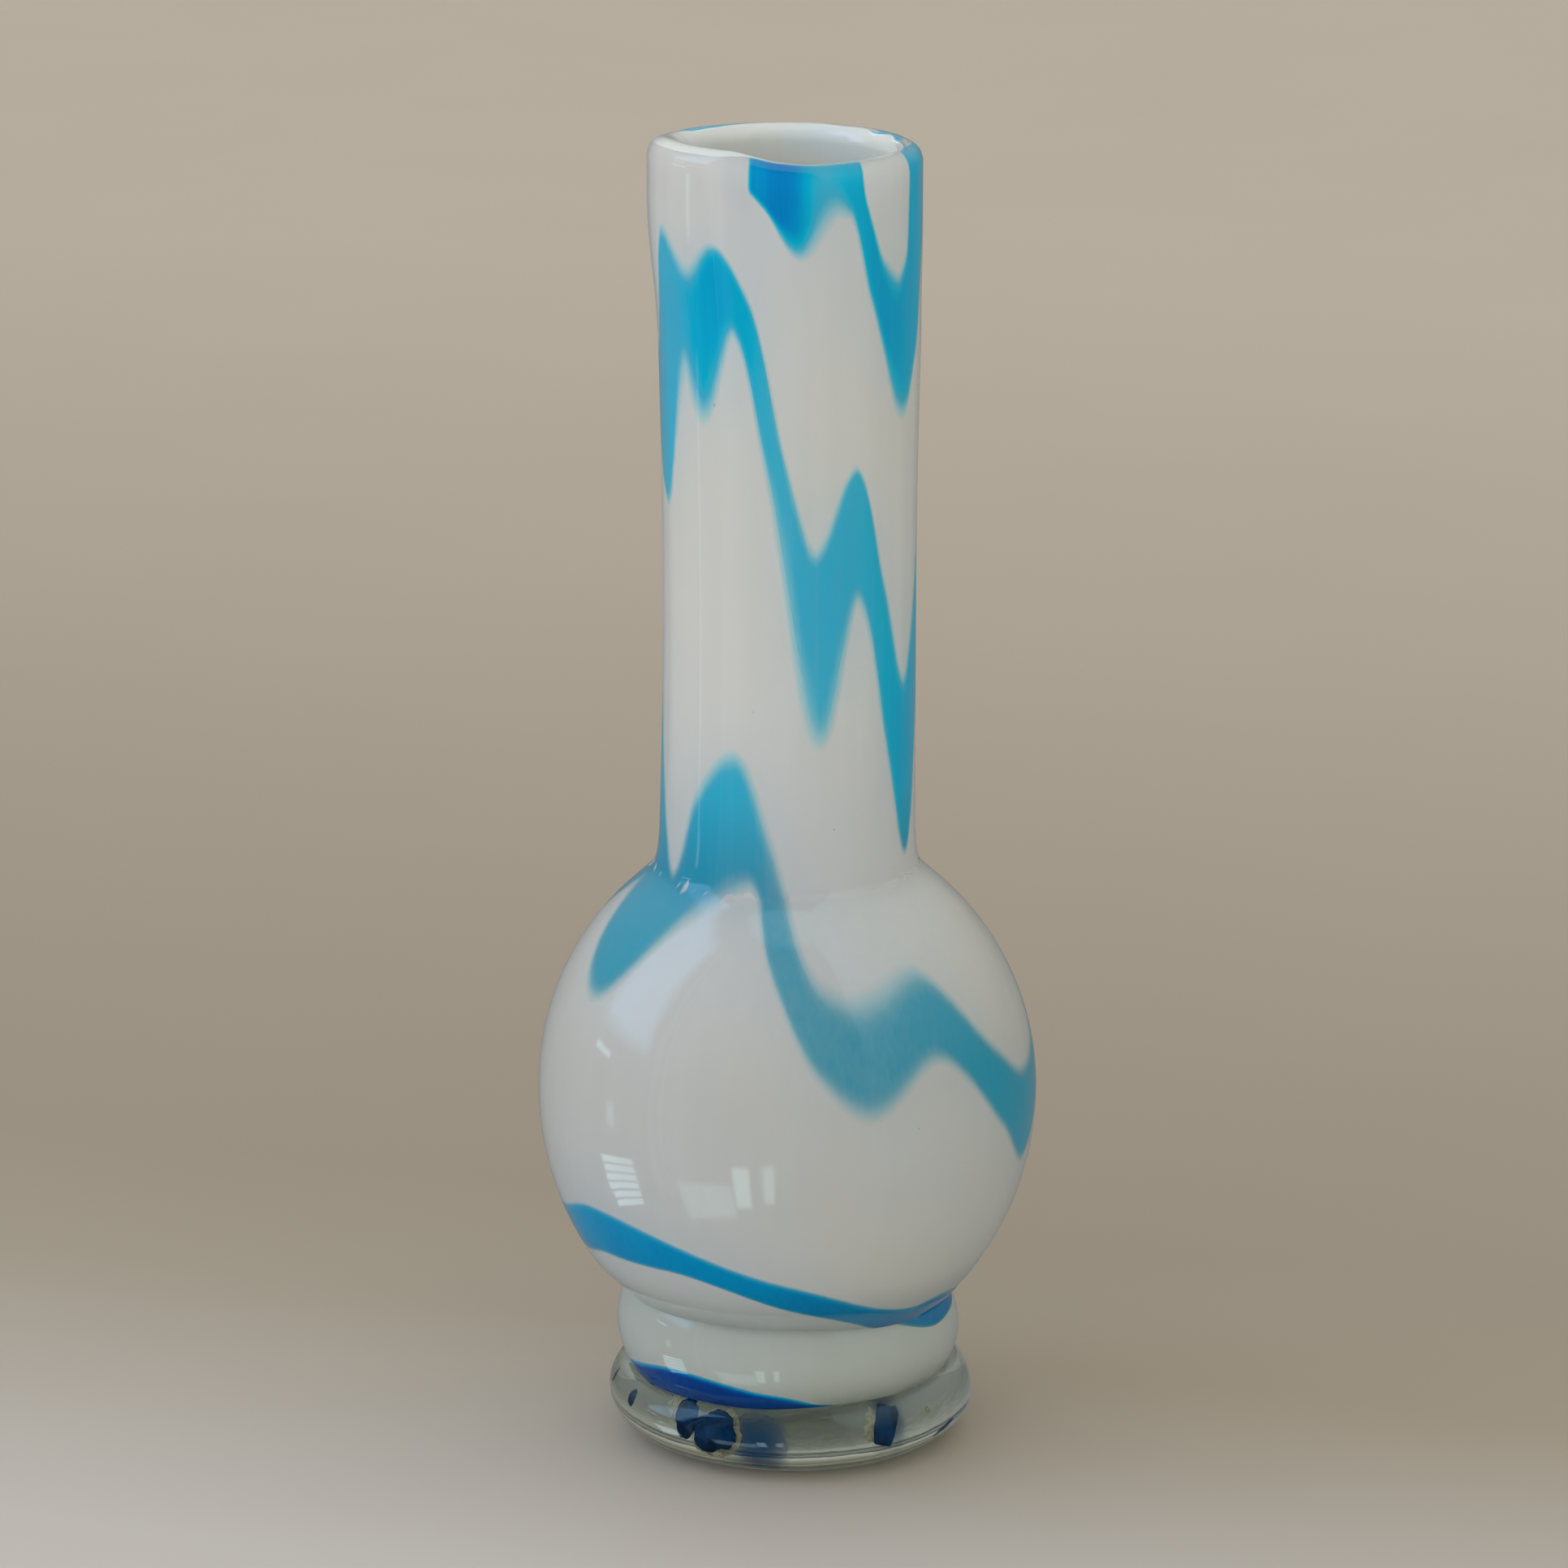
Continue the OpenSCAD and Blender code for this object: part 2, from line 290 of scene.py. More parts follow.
def warp(azimuth, r, z):
    """Where a point of the perfectly round vase goes on the real one, in metres."""
    azimuth, r, z = np.broadcast_arrays(np.asarray(azimuth, float), np.asarray(r, float), np.asarray(z, float))
    a = np.radians(azimuth)
    low = rise(z, *LOW_WAVES_TO)
    neck = rise(z, neck_z, neck_z + NECK_WAVES_OVER)
    uneven = (
        low * waves(LOW_WAVES, a, z) + neck * waves(NECK_WAVES, a, z)
        + rise(z, *BULB_WAVES_FROM) * (1 - neck) * waves(BULB_WAVES, a, z) - wave_room
    )
    r_new = r * (1 + uneven / np.maximum(r, bore_r))
    drop = curve(LIP_DROP, wrapped(azimuth)) * rise(z, lip_drop_from, lip_drop_full)
    lift = rise(z, 0, FOOT_WAVES_OVER) * low * waves(FOOT_WAVES, a, z)
    low_swing, high_swing = (smooth(1 - np.abs(z - at) / reach) for at, reach in COLLAR_SWING)
    front_left = (0.5 + 0.5 * np.cos(a - math.radians(COLLAR_TALLEST))) ** 2
    z_new = z - drop + lift + (high_swing - low_swing) * front_left * COLLAR_STRETCH
    shift = curve(AXIS_SHIFT, z)
    return np.stack([r_new * np.sin(a) + shift, -r_new * np.cos(a), z_new], axis=-1) * MM


def undropped(azimuth, z):
    """Height on the round vase that the lip's unevenness brings to height z."""
    return z + curve(LIP_DROP, wrapped(azimuth)) * rise(z, lip_drop_from, lip_drop_full)


def lip_angle(azimuth):
    """Angle round the lip's roll at which the clear layer gives way to the white one."""
    r = lip_r - casing_t - curve(LIP_LEAN, wrapped(azimuth))
    return np.arccos(np.clip((r - bore_r - lip_round) / lip_round, -0.95, 0.95))


def bubble_radius(azimuth, z, sunk=0.0):
    """Radius of the white bubble's outer face, which leans in where it stops short of the lip's crest."""
    lean = curve(LIP_LEAN, wrapped(azimuth)) * rise(z, lean_from, lean_full)
    return layer_radius(z, casing_t + sunk) - lean


# ---------------------------------------------------------------- meshes

def finished(name, vertices, faces, materials, indexes=None, crease=35):
    mesh = bpy.data.meshes.new(name)
    mesh.from_pydata([tuple(v) for v in vertices], [], faces)
    for material in materials:
        mesh.materials.append(material)
    if indexes is not None:
        mesh.polygons.foreach_set("material_index", np.array(indexes, np.int32))
    mesh.polygons.foreach_set("use_smooth", np.ones(len(mesh.polygons), bool))
    mesh.set_sharp_from_angle(angle=math.radians(crease))
    mesh.update()
    piece = bpy.data.objects.new(name, mesh)
    bpy.context.scene.collection.objects.link(piece)
    return piece


def ring_faces(first, second):
    """Quads between two rings of vertices, or triangles where a ring is one point."""
    count = max(len(first), len(second))
    faces = []
    for j in range(count):
        k = (j + 1) % count
        loop = [first[j % len(first)], first[k % len(first)], second[k % len(second)], second[j % len(second)]]
        faces.append(list(dict.fromkeys(loop)))
    return faces


ROUND = np.arange(COLUMNS) * TURN / COLUMNS


def turned(name, rows, materials, kinds):
    """A closed mesh from rings of radius and height; kinds gives the material of each band between two rings."""
    vertices, rings = [], []
    for i, (r, z) in enumerate(rows):
        points = warp(ROUND, r, z)
        if i in (0, len(rows) - 1):
            points = points.mean(axis=0, keepdims=True)
        rings.append(list(range(len(vertices), len(vertices) + len(points))))
        vertices += list(points)
    faces, indexes = [], []
    for first, second, kind in zip(rings, rings[1:], kinds):
        made = ring_faces(first, second)
        faces += made
        indexes += [kind] * len(made)
    return finished(name, vertices, faces, materials, indexes)


def rows_from(r, z):
    return list(zip(r, z))


# ---------------------------------------------------------------- materials

def add(tree, kind, inputs=None, **settings):
    made = tree.nodes.new(kind)
    for key, value in settings.items():
        setattr(made, key, value)
    for key, value in (inputs or {}).items():
        if isinstance(value, bpy.types.NodeSocket):
            tree.links.new(value, made.inputs[key])
        else:
            made.inputs[key].default_value = value
    return made


def new_material(name, **inputs):
    material = bpy.data.materials.new(name)
    material.use_nodes = True
    tree = material.node_tree
    shader = tree.nodes["Principled BSDF"]
    for key, value in inputs.items():
        shader.inputs[key.replace("_", " ")].default_value = value
    return material, tree, shader


def grain(tree, scale, detail=3.0, rough=0.55):
    """Noise in the object's own coordinates; scale is in lumps per metre along x, y and z."""
    place = add(tree, "ShaderNodeTexCoord")
    mapped = add(tree, "ShaderNodeMapping", {"Vector": place.outputs["Object"], "Scale": scale})
    made = add(tree, "ShaderNodeTexNoise", {
        "Vector": mapped.outputs["Vector"], "Scale": 1.0, "Detail": detail, "Roughness": rough,
    })
    return made.outputs["Fac"]


def spread(tree, value, low, high, from_low=0.3, from_high=0.7):
    made = add(tree, "ShaderNodeMapRange", {
        "Value": value, "From Min": from_low, "From Max": from_high, "To Min": low, "To Max": high,
    })
    return made.outputs["Result"]


def times(tree, a, b):
    return add(tree, "ShaderNodeMath", {0: a, 1: b}, operation="MULTIPLY").outputs[0]


def plus(tree, a, b):
    return add(tree, "ShaderNodeMath", {0: a, 1: b}, operation="ADD").outputs[0]


def mixed(tree, factor, a, b, blend="MIX"):
    made = add(tree, "ShaderNodeMix", data_type="RGBA", blend_type=blend)
    for socket, value in ((made.inputs[0], factor), (made.inputs[6], a), (made.inputs[7], b)):
        if isinstance(value, bpy.types.NodeSocket):
            tree.links.new(value, socket)
        else:
            socket.default_value = value
    return made.outputs[2]


def product(tree, a, b):
    return mixed(tree, 1.0, a, b, "MULTIPLY")


def colour_by(tree, shader, colour):
    tree.links.new(colour, shader.inputs["Base Color"])


def bumpy(tree, shader, scale, distance, strength=1.0):
    """Fine waves on a surface: lumps per metre, and their height in metres."""
    height = grain(tree, scale, 2)
    bump = add(tree, "ShaderNodeBump", {"Height": height, "Strength": strength, "Distance": distance})
    tree.links.new(bump.outputs["Normal"], shader.inputs["Normal"])


# The opal white's two tones
MILK_COOL = (0.865, 0.89, 0.91, 1)
MILK_WARM = (0.895, 0.895, 0.855, 1)
# Painted shade on the white, against height in metres: the bulb is greyer than the neck, as if less light
# reached it, with a paler band at its foot; round the collar it is darker still, and greener where the glass
# over it is greener
PAINTED_SHADE_BY_HEIGHT = [
    (0.0, (0.73, 0.80, 0.78)), (0.029, (0.74, 0.805, 0.785)), (0.041, (0.98, 1.0, 1.0)),
    (0.06, (0.865, 0.885, 0.88)), (0.08, (0.835, 0.84, 0.83)), (0.105, (0.865, 0.87, 0.865)), (0.15, (1, 1, 1)),
]
PAINTED_SHADE_TOP = 0.2


def ramp_of(tree, value, colours, top):
    """Colours at places from 0 to top."""
    ramp = add(tree, "ShaderNodeValToRGB", {"Fac": value})
    stops = ramp.color_ramp.elements
    while len(stops) < len(colours):
        stops.new(1.0)
    for stop, (at, colour) in zip(stops, colours):
        stop.position = at / top
        stop.color = (*colour, 1)
    return ramp.outputs["Color"]


def even_shade(tree, value):
    return add(tree, "ShaderNodeCombineColor", {"Red": value, "Green": value, "Blue": value}).outputs[0]


def height_of(tree):
    place = add(tree, "ShaderNodeTexCoord")
    return add(tree, "ShaderNodeSeparateXYZ", {0: place.outputs["Object"]}).outputs["Z"]


# Painted shade: a colour looked up by height, which the white is multiplied by
def painted_height_shade(tree, colours=PAINTED_SHADE_BY_HEIGHT):
    return ramp_of(tree, times(tree, height_of(tree), 1 / PAINTED_SHADE_TOP), colours, PAINTED_SHADE_TOP)


def milk_and_painted_shade(tree):
    """Opal white: cool and warm clouds, with faint drawn streaks, darkened downward by painted shade."""
    clouds = spread(tree, grain(tree, (16, 16, 12), 2), 0, 1, 0.35, 0.65)
    streaks = spread(tree, grain(tree, (420, 420, 9), 4), 0.985, 1.005)
    base = mixed(tree, clouds, MILK_COOL, MILK_WARM)
    return product(tree, product(tree, base, even_shade(tree, streaks)), painted_height_shade(tree))


def opal_under_glass():
    """The bubble's outer face: fused to the clear glass, so it has no gloss of its own."""
    material, tree, shader = new_material("opal", Specular_IOR_Level=0.0, Roughness=0.6)
    colour_by(tree, shader, milk_and_painted_shade(tree))
    return material


# Painted shade: white in air is made this much greyer, so that it looks as it does under clear glass, which
# keeps some of the light in
PAINTED_BARE_SHADE = (0.69, 0.70, 0.67, 1)
# Painted glow: blue from the strand shows faintly through the bore in places
PAINTED_BORE_GLOW = (0.47, 0.60, 0.70, 1)


def opal_in_air():
    """The bubble's bore and the crest of the lip, which are fire polished."""
    material, tree, shader = new_material("opal fire polished", IOR=1.5)
    # Painted shade greys the bare white, and a painted blue glow lies over it in cloudy patches
    glow = spread(tree, grain(tree, (38, 38, 55), 2), 0, 0.5, 0.5, 0.75)
    colour_by(tree, shader, mixed(tree, glow, product(tree, milk_and_painted_shade(tree), PAINTED_BARE_SHADE), PAINTED_BORE_GLOW))
    gloss = spread(tree, grain(tree, (90, 90, 60)), 0.05, 0.14)
    tree.links.new(gloss, shader.inputs["Roughness"])
    bumpy(tree, shader, (120, 120, 50), 0.0004, strength=0.15)
    return material


# Colour that the strand gives the white behind it, against its depth
DEPTH_FULL = 3.2
STRAND_TINTS = [
    (0.0, (1, 1, 1)), (0.1, (0.66, 0.92, 0.99)), (0.27, (0.29, 0.75, 0.92)), (0.45, (0.09, 0.63, 0.90)),
    (0.73, (0.004, 0.645, 0.945)), (1.0, (0.0005, 0.56, 0.925)), (1.35, (0.0005, 0.42, 0.88)),
    (2.0, (0.0005, 0.22, 0.77)), (DEPTH_FULL, (0.0005, 0.10, 0.57)),
]
# The strand is deep enough from here to hide the milk's own clouds
DEPTH_HIDES = 0.35
# Painted shade on the white behind the strand, against height: it is dimmest on the bulb's shoulder
PAINTED_SHADE_BEHIND_BLUE = [
    (0.0, (0.9, 0.96, 0.995)), (0.03, (0.9, 0.69, 0.83)), (0.05, (0.9, 0.82, 0.96)), (0.07, (0.86, 0.82, 0.87)),
    (0.085, (0.88, 0.81, 0.81)), (0.118, (0.84, 0.77, 0.80)), (0.132, (0.9, 0.98, 0.99)), (0.2, (0.9, 1.0, 1.0)),
]


def blue_in_glass():
    material, tree, shader = new_material("blue strand", Specular_IOR_Level=0.0, Roughness=0.6)
    depth = add(tree, "ShaderNodeAttribute", attribute_name="depth").outputs["Fac"]
    streaks = spread(tree, grain(tree, (900, 900, 14), 3, 0.6), 0.93, 1.08)
    cloud = spread(tree, grain(tree, (60, 60, 40), 2), 0.93, 1.07)
    level = times(tree, times(tree, depth, streaks), times(tree, cloud, 1 / DEPTH_FULL))
    tint = ramp_of(tree, level, STRAND_TINTS, DEPTH_FULL)
    # Painted shade by height on the white behind the strand, on top of the white's own painted shade
    behind = product(tree, painted_height_shade(tree), painted_height_shade(tree, PAINTED_SHADE_BEHIND_BLUE))
    backing = mixed(tree, spread(tree, depth, 0, 1, 0.0, DEPTH_HIDES), milk_and_painted_shade(tree), behind)
    colour_by(tree, shader, product(tree, backing, tint))
    return material


# Reflections in the glass are a little cooler than what it mirrors
GLOSS_TINT = (0.6, 0.92, 1.0, 1)


def glass(name, **inputs):
    return new_material(name, Transmission_Weight=1.0, IOR=1.5, Specular_Tint=GLOSS_TINT, **inputs)


def casing_glass():
    """Fire polished clear glass; its surface is pulled into faint waves along the vase's axis."""
    material, tree, shader = glass("clear casing", Base_Color=(1.0, 1.0, 1.0, 1))
    tree.links.new(spread(tree, grain(tree, (60, 60, 60), 4), 0.0, 0.02), shader.inputs["Roughness"])
    bumpy(tree, shader, (170, 170, 5), 0.00006)
    return material


# The foot's glass has a straw and green tint; towards its lower edge, by the floor, painted shade darkens it and
# the straw grows stronger
FOOT_EDGE_TINT_AND_SHADE = (0.43, 0.43, 0.29, 1)
FOOT_TOP_TINT = (0.665, 0.715, 0.63, 1)
edge_shade_from = 0.001
edge_shade_to = 0.0065


def foot_glass():
    material, tree, shader = glass("foot glass", Roughness=0.0)
    # Painted shade: darker low on the foot, near the floor
    level = spread(tree, height_of(tree), 0, 1, edge_shade_from, edge_shade_to)
    colour_by(tree, shader, mixed(tree, level, FOOT_EDGE_TINT_AND_SHADE, FOOT_TOP_TINT))
    bumpy(tree, shader, (110, 110, 110), 0.00012)
    return material


def ground_glass():
    """The foot's underside: ground flat, then half polished, so it blurs what lies beyond it. Its dark straw
    colour is the glass's tint deepened by painted shade of the floor beneath.
    """
    # The dark base colour is the glass's tint plus painted shade
    material, tree, shader = glass("ground base", Base_Color=(0.45, 0.48, 0.38, 1))
    tree.links.new(spread(tree, grain(tree, (800, 800, 800), 3), 0.42, 0.6), shader.inputs["Roughness"])
    return material


# Darkest and palest tones of the bruises and of the cobalt chips
BRUISE_DARK, BRUISE_PALE = (0.34, 0.34, 0.24, 1), (0.62, 0.60, 0.44, 1)
COBALT_DARK, COBALT_PALE = (0.001, 0.008, 0.05, 1), (0.001, 0.055, 0.20, 1)


def bruised_glass():
    """Straw coloured glass full of fine cracks, round the chips."""
    material, tree, shader = new_material("bruised glass", Roughness=0.35, Specular_IOR_Level=0.3)
    flecks = spread(tree, grain(tree, (1500, 1500, 1500), 3), 0, 1)
    colour_by(tree, shader, mixed(tree, flecks, BRUISE_DARK, BRUISE_PALE))
    cracks = spread(tree, grain(tree, (900, 900, 900), 4), 0.2, 0.8, 0.35, 0.65)
    tree.links.new(cracks, shader.inputs["Alpha"])
    return material


def painted_blue_glow():
    """Painted glow: blue light that a chip throws into the glass beside it, on a lump that thins out to nothing.
    """
    tone_and_painted_light = (0.001, 0.07, 0.23, 1)
    material, tree, shader = new_material("painted blue glow", Base_Color=tone_and_painted_light, Specular_IOR_Level=0.0)
    glow_fade = add(tree, "ShaderNodeAttribute", attribute_name="glow_fade").outputs["Fac"]
    tree.links.new(spread(tree, glow_fade, 0, 0.72, 0.0, 0.8), shader.inputs["Alpha"])
    return material


def fused():
    """The joint between two pieces of clear glass, which light crosses without bending."""
    material, tree, shader = new_material("fused joint")
    tree.nodes.remove(shader)
    through = add(tree, "ShaderNodeBsdfTransparent")
    tree.links.new(through.outputs[0], tree.nodes["Material Output"].inputs["Surface"])
    return material


def cobalt():
    material, tree, shader = new_material("cobalt", Specular_IOR_Level=0.0, Roughness=0.5)
    depths = spread(tree, grain(tree, (330, 330, 330), 3), 0, 1)
    colour_by(tree, shader, mixed(tree, depths, COBALT_DARK, COBALT_PALE))
    return material


OPAL = opal_under_glass()
OPAL_AIR = opal_in_air()
BLUE = blue_in_glass()
CASING = casing_glass()
FOOT = foot_glass()
GROUND = ground_glass()
BRUISE = bruised_glass()
GLOW_PAINT = painted_blue_glow()
FUSED = fused()
COBALT = cobalt()


# ---------------------------------------------------------------- pieces

def lip_roll(a):
    """Radius and height of the lip's rolled crest at an angle from its outer side."""
    return bore_r + lip_round + lip_round * np.cos(a), lip_z + lip_crown * np.sin(a)


def opal_liner():
    r0, z0 = closed_end(casing_t)
    rows = rows_from(r0, z0)
    rows += [(bubble_radius(ROUND, z), z) for z in side_rows(cap_z, lip_z)]
    edge = lip_angle(ROUND)
    under = len(rows)
    rows += [lip_roll(edge + (math.pi - edge) * t) for t in steps(0, 1, ROLL_ROWS)]
    bore_foot = bulb_z + (shoulder_h - wall_t) * math.sqrt(1 - (bore_r / (bulb_r - wall_t)) ** 2)
    rows += [(bore_r, z) for z in steps(lip_z, bore_foot, BORE_ROWS)[1:]]
    rows += [(bulb_radius(z, wall_t), z) for z in steps(bore_foot, cap_z, INSIDE_ROWS)[1:-1]]
    r1, z1 = closed_end(wall_t)
    rows += rows_from(r1, z1)[::-1]
    kinds = [0 if i < under else 1 for i in range(len(rows) - 1)]
    return turned("opal_bubble", rows, [OPAL, OPAL_AIR], kinds)


# The clear layer's inner face lies this far inside the white bubble, where it is never seen
SUNK = 0.15

# Seeds, tiny bubbles left in the clear layer, drawn out along the vase's axis
SEEDS = 22
SEED_HEIGHT = (36, 240)
SEED_DEPTH = (0.7, 1.5)
SEED_RADIUS = (0.05, 0.13)
SEED_STRETCH = (1.2, 2.6)
SEED_ORDER = 11


def add_seeds(piece):
    """Cuts seeds into a piece as small hollows, whose faces look into the hollow."""
    chance = random.Random(SEED_ORDER)
    shape = bmesh.new()
    shape.from_mesh(piece.data)
    for _ in range(SEEDS):
        azimuth, z = chance.uniform(-180, 180), chance.uniform(*SEED_HEIGHT)
        r = float(side_radius(np.float64(z), 0)) - chance.uniform(*SEED_DEPTH)
        size, stretch = chance.uniform(*SEED_RADIUS), chance.uniform(*SEED_STRETCH)
        middle = Vector(warp(azimuth, r, z))
        made = bmesh.ops.create_icosphere(shape, subdivisions=2, radius=1.0)["verts"]
        for vertex in made:
            vertex.co = middle + Vector((vertex.co.x, vertex.co.y, vertex.co.z * stretch)) * size * MM
        bmesh.ops.reverse_faces(shape, faces=list({face for vertex in made for face in vertex.link_faces}))
    for face in shape.faces:
        face.smooth = True
    shape.to_mesh(piece.data)
    shape.free()


def clear_casing():
    rows = rows_from(*seat())
    seat_rows = len(rows) - 1
    top_r = side_radius(np.float64(high_groove_z), 0)
    bulge = collar_r - (groove_r + top_r) / 2
    for t in steps(0, 1, COLLAR_ROWS)[1:-1]:
        rows.append((
            groove_r + (top_r - groove_r) * t + bulge * 4 * t * (1 - t),
            low_groove_z + (high_groove_z - low_groove_z) * t,
        ))
    rows += [(side_radius(z, 0), z) for z in np.concatenate([[high_groove_z], side_rows(cap_z, lip_z)])]
    edge = lip_angle(ROUND)
    rows += [lip_roll(edge * t) for t in steps(0, 1, CLEAR_ROLL_ROWS)[1:]]
    r_edge, z_edge = rows[-1]
    rows.append((r_edge - SUNK, z_edge - 2 * SUNK))
    rows += [(bubble_radius(ROUND, z, SUNK), z) for z in side_rows(cap_z, lip_z)[::-2]]
    r1, z1 = closed_end(casing_t + SUNK)
    rows += rows_from(r1, z1)[::-1]
    kinds = [1 if i < seat_rows else 0 for i in range(len(rows) - 1)]
    piece = turned("clear_layer", rows, [CASING, FUSED], kinds)
    add_seeds(piece)
    return piece


def foot_disc():
    rows = [(0, pontil_depth), (pontil_r * 0.5, pontil_depth * 0.96), (pontil_r - 2, pontil_depth * 0.75)]
    rows += [(pontil_r - 0.8, pontil_depth * 0.35), (pontil_r, 0), (contact_r - 4, 0), (contact_r - 0.6, 0)]
    for a in np.radians(steps(0, 90, FOOT_LOW_ROWS)):
        rows.append((contact_r + (foot_r - contact_r) * math.sin(a), foot_widest_z * (1 - math.cos(a))))
    for a in np.radians(steps(0, 90, FOOT_HIGH_ROWS)[1:]):
        rows.append((
            groove_r + (foot_r - groove_r) * math.cos(a),
            foot_widest_z + (low_groove_z - foot_widest_z) * math.sin(a),
        ))
    outside = len(rows) - 1
    rows += rows_from(*seat())[::-1][1:]
    kinds = [2 if i < GROUND_ROWS else 0 if i < outside else 1 for i in range(len(rows) - 1)]
    return turned("foot", rows, [FOOT, FUSED, GROUND], kinds)


STRAND_STEP = 0.75
STRAND_ROWS = 30
# How far the strand stands out from the white bubble at its thickest, and how deep its edges and back lie in it
STRAND_PROUD = 0.45
STRAND_EDGE = 0.05
STRAND_BACK = 0.5
STRAND_BACK_ROWS = 8
# Where the strand's upper edge is above this, it runs on up to the lip's crest, and isn't faded there
LIP_FROM = 247
LIP_REACH = 4.6
# The least room between the strand and the lip's crest, before and after the lip's drop is allowed for
CREST_ROOM = 0.35
CREST_CUT = 0.3
# The least room between the strand and the foot of the white bubble
END_ROOM = 1.2
# Reach along the strand, in steps and in degrees, within which its edges are looked for
GROW_STEPS = 12
NEAR_DEGREES = 36
# Degrees over which the strand thins out at its two ends
START_THINS = 2.5
END_THINS = 30


def strand_edges(azimuth):
    top, low = curve(TRAIL_TOP, azimuth), curve(TRAIL_LOW, azimuth)
    return top + LIP_REACH * rise(top, LIP_FROM, LIP_FROM + 4), low


def edge_distance(azimuth, z, edge_azimuth, edge_z, stretch, radius):
    """Distance to an edge of the strand, where heights count less than widths."""
    across = np.radians(azimuth[..., None] - edge_azimuth) * radius[..., None]
    along = (z[..., None] - edge_z) / stretch[..., None]
    return np.sqrt((across**2 + along**2).min(axis=-1))


def grown(azimuth, edge, margin, stretch, sign):
    """An edge moved outward by a margin, as a disc rolled along it would."""
    result = edge.copy()
    radius = layer_radius(edge, casing_t)
    for offset in range(-GROW_STEPS, GROW_STEPS + 1):
        i = np.clip(np.arange(len(azimuth)) + offset, 0, len(azimuth) - 1)
        across = np.radians(azimuth[i] - azimuth) * radius
        reach = np.sqrt(np.maximum(0, margin**2 - across**2)) * stretch
        inside = np.abs(across) <= margin
        moved = edge[i] + sign * reach
        better = inside & (sign * moved > sign * result)
        result = np.where(better, moved, result)
    return result


def blue_strand():
    azimuth = np.arange(TRAIL_TOP[0][0], TRAIL_TOP[-1][0] + STRAND_STEP / 2, STRAND_STEP)
    top, low = strand_edges(azimuth)
    stretch = curve(FADE_STRETCH, azimuth)
    low_fade, top_fade = curve(LOW_FADE, azimuth), curve(TOP_FADE, azimuth)
    high = np.minimum(grown(azimuth, top, top_fade / 2, stretch, 1), vase_h - CREST_ROOM)
    bottom = np.maximum(grown(azimuth, low, low_fade / 2, stretch, -1), liner_base_z + END_ROOM)
    share = steps(0, 1, STRAND_ROWS)
    z = bottom[:, None] + (high - bottom)[:, None] * share
    wide = np.repeat(azimuth[:, None], z.shape[1], axis=1)
    radius = layer_radius(z, casing_t)
    thin_top, thin_low = np.zeros_like(z), np.zeros_like(z)
    reach = int(round(NEAR_DEGREES / STRAND_STEP))
    for i in range(len(azimuth)):
        near = slice(max(0, i - reach), i + reach + 1)
        stretches = np.full(z.shape[1], stretch[i])
        for edge, fade, store, inside in (
            (top, top_fade[i], thin_top, z[i] < top[i]),
            (low, low_fade[i], thin_low, z[i] > low[i]),
        ):
            distance = edge_distance(wide[i], z[i], azimuth[near], edge[near], stretches, radius[i])
            signed = np.where(inside, distance, -distance)
            store[i] = smooth(signed / fade + 0.5)
    at_lip = rise(top, LIP_FROM + 3, LIP_FROM + 6)[:, None] * rise(z, LIP_FROM - 1, LIP_FROM + 4)
    thick = np.maximum(thin_top, at_lip) * thin_low
    ends = smooth((azimuth - azimuth[0]) / START_THINS) * smooth((azimuth[-1] - azimuth) / END_THINS)
    thick *= ends[:, None]
    depth = thick * curve(TRAIL_DEPTH, azimuth)[:, None]
    return strand_mesh(azimuth, z, thick, depth)


def strand_mesh(azimuth, z, thick, depth):
    """A closed ribbon: its outer face swells with its thickness, and its back lies inside the white bubble."""
    columns, rows = z.shape
    wide = np.repeat(azimuth[:, None], rows, axis=1)
    level = np.minimum(undropped(wide, z), vase_h - CREST_CUT)
    reach = 0.05
    slope = (layer_radius(level + reach, casing_t) - layer_radius(level - reach, casing_t)) / (2 * reach)
    tilt = np.sqrt(1 + slope**2)
    lean = layer_radius(level, casing_t) - bubble_radius(wide, level)

    def face(offset):
        return warp(wide, layer_radius(level, casing_t) - lean + offset / tilt, level - offset * slope / tilt)

    out = face(STRAND_PROUD * np.sqrt(thick) - STRAND_EDGE)
    back_rows = np.unique(np.linspace(0, rows - 1, STRAND_BACK_ROWS).astype(int))
    back = face(np.full_like(z, -STRAND_BACK))[:, back_rows[::-1]]
    loop = rows + len(back_rows)
    grid = np.concatenate([out, back], axis=1).reshape(-1, 3)
    values = np.concatenate([depth, np.zeros((columns, len(back_rows)))], axis=1).reshape(-1)
    faces = []
    for i in range(columns - 1):
        for j in range(loop):
            k = (j + 1) % loop
            faces.append((i * loop + j, (i + 1) * loop + j, (i + 1) * loop + k, i * loop + k))
    faces.append(tuple(range(loop)))
    faces.append(tuple((columns - 1) * loop + j for j in reversed(range(loop))))
    piece = finished("blue_strand", grid, faces, [BLUE], crease=60)
    attribute = piece.data.attributes.new("depth", "FLOAT", "POINT")
    attribute.data.foreach_set("value", values.astype(np.float32))
    return piece


# Cobalt chips: azimuth, distance from the axis, height, half sizes across, outward and up, turn
LUMP_CHIPS = [
    (-39.5, 29.7, 8.7, (2.5, 1.0, 2.3), 20),
    (-28, 30.0, 7.7, (4.6, 1.1, 2.6), -8),
    (-66, 32.3, 9.6, (1.1, 0.5, 1.4), 35),
    (-84, 33.2, 10.6, (0.5, 0.3, 1.5), 10),
    (63, 31.5, 5.6, (3.4, 0.3, 0.35), -10),
]
# Leaning plates of the same glass
PLATE_CHIPS = [(36, 29.4, 8.2, (2.7, 0.7, 2.6), 14)]
